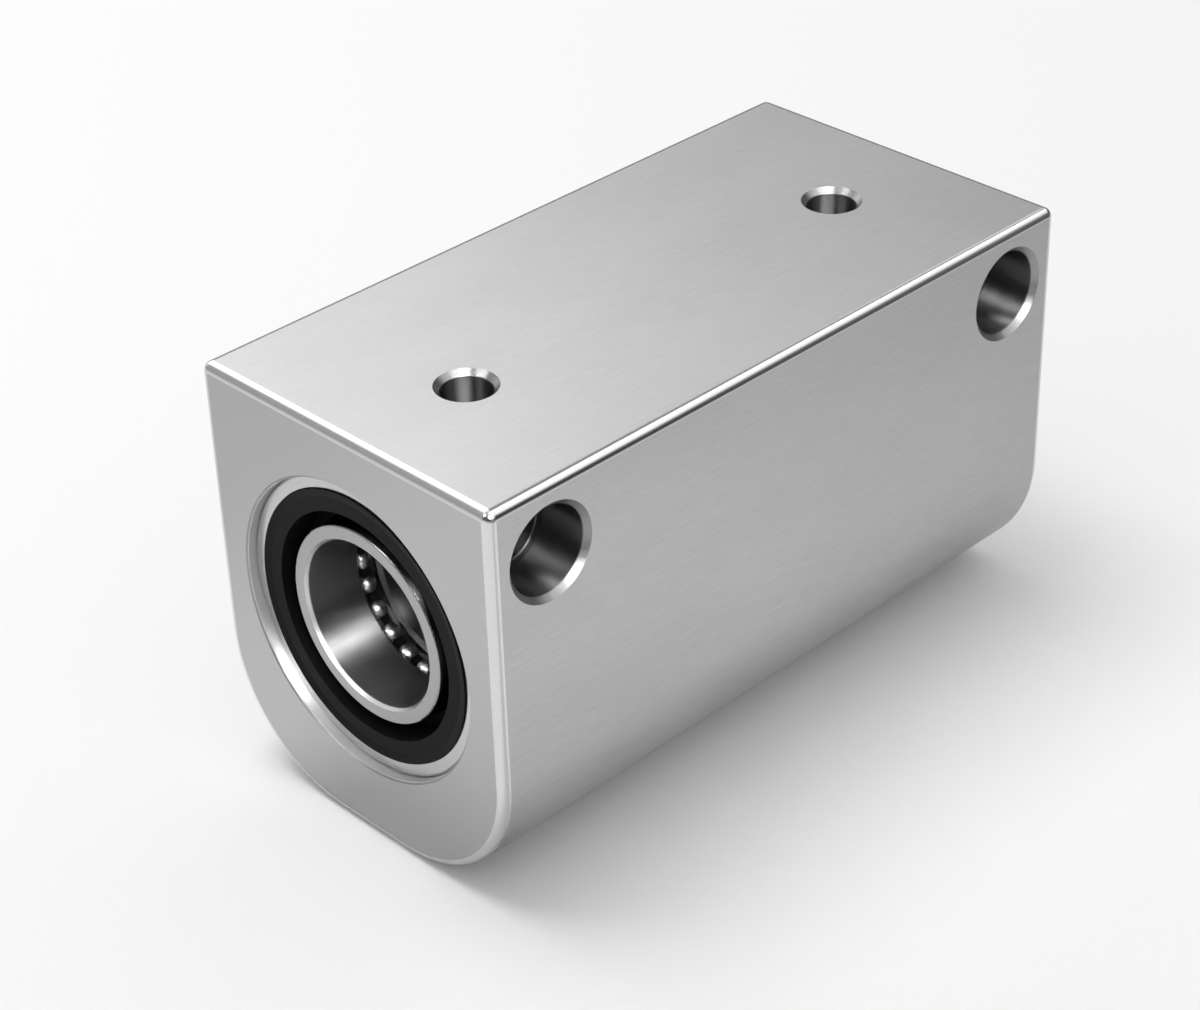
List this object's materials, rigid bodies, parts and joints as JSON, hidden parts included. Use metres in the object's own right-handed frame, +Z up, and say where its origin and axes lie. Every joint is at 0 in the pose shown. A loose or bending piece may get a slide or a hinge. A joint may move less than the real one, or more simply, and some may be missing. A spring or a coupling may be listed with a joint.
{
  "type": "linear bearing block",
  "caption": "Long linear bearing block with two ball bushes in line, a flat top with grease ports, stepped pin pockets in its sides and a rounded underside.",
  "frame": {"origin": "centre of the narrow bottom flat, halfway along the block", "axes": "+Y along the shaft towards the rear end, +Z up to the flat top, +X to the right as seen from the front"},
  "size_m": [0.058, 0.115, 0.066],
  "materials": {
    "housing": "fine straight brushing along the block, satin ends",
    "bush_steel": "ground",
    "cage_steel": "polished turning",
    "ball_steel": "polished",
    "ball_ring": "smooth black",
    "seal_rubber": "matt black"
  },
  "bodies": {
    "block": {"housing": "housing", "center_spacer": "bush_steel", "front_sleeve": "bush_steel", "front_seal": "seal_rubber", "rear_sleeve": "bush_steel", "rear_seal": "seal_rubber"},
    "front_cage": {"front_cage_nose": "cage_steel", "front_cage_middle": "cage_steel", "front_cage_tail": "cage_steel", "front_outer_ball_ring": "ball_ring", "front_outer_balls": "ball_steel", "front_inner_ball_ring": "ball_ring", "front_inner_balls": "ball_steel"},
    "rear_cage": {"rear_cage_nose": "cage_steel", "rear_cage_middle": "cage_steel", "rear_cage_tail": "cage_steel", "rear_outer_ball_ring": "ball_ring", "rear_outer_balls": "ball_steel", "rear_inner_ball_ring": "ball_ring", "rear_inner_balls": "ball_steel"}
  },
  "joints": [
    {"name": "front_cage_slide", "type": "slide", "parent": "block", "child": "front_cage", "axis": [0, 1, 0], "range_m": [-0.0018, 0.0018]},
    {"name": "rear_cage_slide", "type": "slide", "parent": "block", "child": "rear_cage", "axis": [0, 1, 0], "range_m": [-0.0018, 0.0018]}
  ]
}
